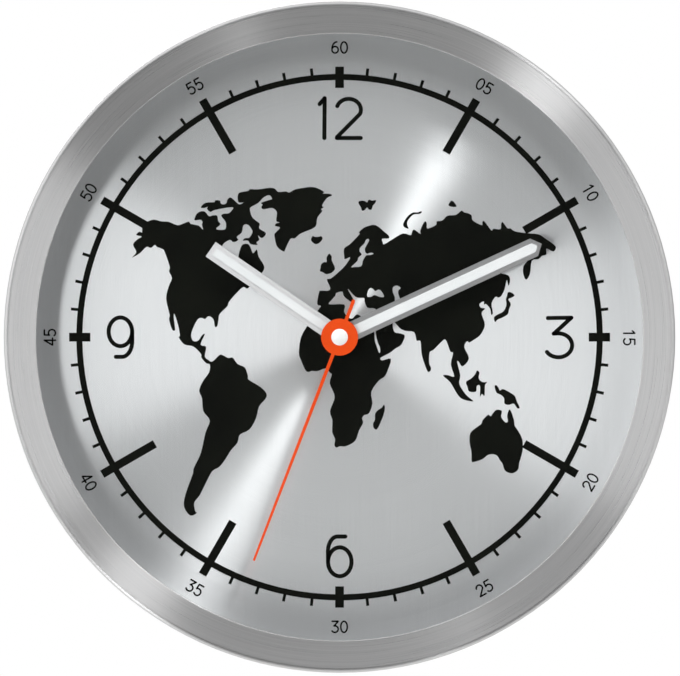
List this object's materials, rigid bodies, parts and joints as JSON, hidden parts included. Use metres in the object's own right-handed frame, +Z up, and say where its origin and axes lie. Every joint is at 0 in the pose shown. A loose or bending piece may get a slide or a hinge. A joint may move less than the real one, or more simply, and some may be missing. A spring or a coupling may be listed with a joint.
{
  "type": "wall clock",
  "caption": "Round quartz wall clock: brushed aluminium rim and dial under glass, three hands on a geared movement, black back cover with a keyhole hanger.",
  "frame": {"origin": "centre of the keyhole's round entry, in the plane of the wall", "axes": "front faces -Y, +Z is up towards 12, +Y points into the wall"},
  "size_m": [0.3, 0.043, 0.3],
  "materials": {
    "rim_aluminium": "concentric brushed",
    "dial_aluminium": "fine brushed",
    "clear_glass": "polished",
    "seal_rubber": "matt",
    "spacer_plastic": "satin",
    "black_ink": "screen print",
    "black_abs": "fine spark texture",
    "zinc_steel": "zinc plated",
    "arbor_steel": "ground",
    "turned_brass": "turned",
    "gear_acetal": "moulded",
    "hand_aluminium": "brushed",
    "hand_white": "satin",
    "hand_orange": "satin paint",
    "cap_white": "gloss",
    "board_green": "solder mask",
    "resin_black": "cast",
    "coil_copper": "enamelled wire",
    "magnet_grey": "sintered",
    "core_steel": "annealed",
    "cell_can": "printed sleeve, left plain",
    "knob_plastic": "moulded"
  },
  "bodies": {
    "case": {"case_rim": "rim_aluminium", "lens_glass": "clear_glass", "lens_gasket": "seal_rubber", "spacer_ring": "spacer_plastic", "dial_plate": "dial_aluminium", "dial_minute_track": "black_ink", "back_cover": "black_abs", "back_cover_screws": "zinc_steel", "hanger_plate": "zinc_steel", "hanger_rivets": "zinc_steel", "movement_front_case": "black_abs", "movement_rear_cover": "black_abs", "centre_bush": "turned_brass", "dial_washer": "seal_rubber", "nut_washer": "turned_brass", "hex_nut": "turned_brass", "battery_cell": "cell_can", "battery_contact_negative": "zinc_steel", "battery_contact_positive": "zinc_steel", "stator_plate": "core_steel", "coil_core": "core_steel", "coil_bobbin": "gear_acetal", "coil_winding": "coil_copper", "circuit_board": "board_green", "ic_blob": "resin_black", "quartz_crystal": "zinc_steel"},
    "seconds": {"seconds_wheel": "gear_acetal", "seconds_arbor": "arbor_steel", "second_hand": "hand_orange", "second_hand_tube": "turned_brass", "second_hand_cap": "cap_white"},
    "third": {"third_wheel": "gear_acetal", "third_arbor": "arbor_steel"},
    "centre": {"centre_wheel": "gear_acetal"},
    "intermediate": {"intermediate_wheel": "gear_acetal", "intermediate_arbor": "arbor_steel"},
    "rotor": {"rotor_pinion": "gear_acetal", "rotor_magnet": "magnet_grey"},
    "minutes": {"cannon_pinion": "turned_brass", "clutch_washer": "arbor_steel", "minute_hand": "hand_aluminium", "minute_hand_inlay": "hand_white", "minute_hand_collet": "turned_brass"},
    "hours": {"hour_wheel": "gear_acetal", "hour_hand": "hand_aluminium", "hour_hand_inlay": "hand_white", "hour_hand_collet": "turned_brass"},
    "setting": {"setting_wheel": "gear_acetal", "set_knob": "knob_plastic"}
  },
  "joints": [
    {"name": "second_hand_turn", "type": "hinge", "parent": "case", "child": "seconds", "pos_m": [0, -0.0128, -0.092], "axis": [0, 1, 0], "continuous": true},
    {"name": "third_wheel_turn", "type": "hinge", "parent": "case", "child": "third", "pos_m": [-0.01015, -0.0128, -0.08831], "axis": [0, 1, 0], "continuous": true},
    {"name": "centre_wheel_turn", "type": "hinge", "parent": "case", "child": "centre", "pos_m": [0, -0.0128, -0.092], "axis": [0, 1, 0], "continuous": true},
    {"name": "intermediate_wheel_turn", "type": "hinge", "parent": "case", "child": "intermediate", "pos_m": [0.0054, -0.0128, -0.08265], "axis": [0, 1, 0], "continuous": true},
    {"name": "rotor_turn", "type": "hinge", "parent": "case", "child": "rotor", "pos_m": [0.01217, -0.0128, -0.08018], "axis": [0, 1, 0], "continuous": true},
    {"name": "minute_hand_turn", "type": "hinge", "parent": "case", "child": "minutes", "pos_m": [0, -0.0128, -0.092], "axis": [0, 1, 0], "continuous": true},
    {"name": "hour_hand_turn", "type": "hinge", "parent": "case", "child": "hours", "pos_m": [0, -0.0128, -0.092], "axis": [0, 1, 0], "continuous": true},
    {"name": "setting_knob_turn", "type": "hinge", "parent": "case", "child": "setting", "pos_m": [0.01161, -0.0128, -0.092], "axis": [0, 1, 0], "continuous": true}
  ],
  "couplings": [
    {"joint": "third_wheel_turn", "follows": "second_hand_turn", "ratio": -0.13333},
    {"joint": "centre_wheel_turn", "follows": "second_hand_turn", "ratio": 0.016667},
    {"joint": "intermediate_wheel_turn", "follows": "second_hand_turn", "ratio": -6},
    {"joint": "rotor_turn", "follows": "second_hand_turn", "ratio": 30},
    {"joint": "hour_hand_turn", "follows": "minute_hand_turn", "ratio": 0.083333},
    {"joint": "setting_knob_turn", "follows": "minute_hand_turn", "ratio": -0.33333}
  ]
}
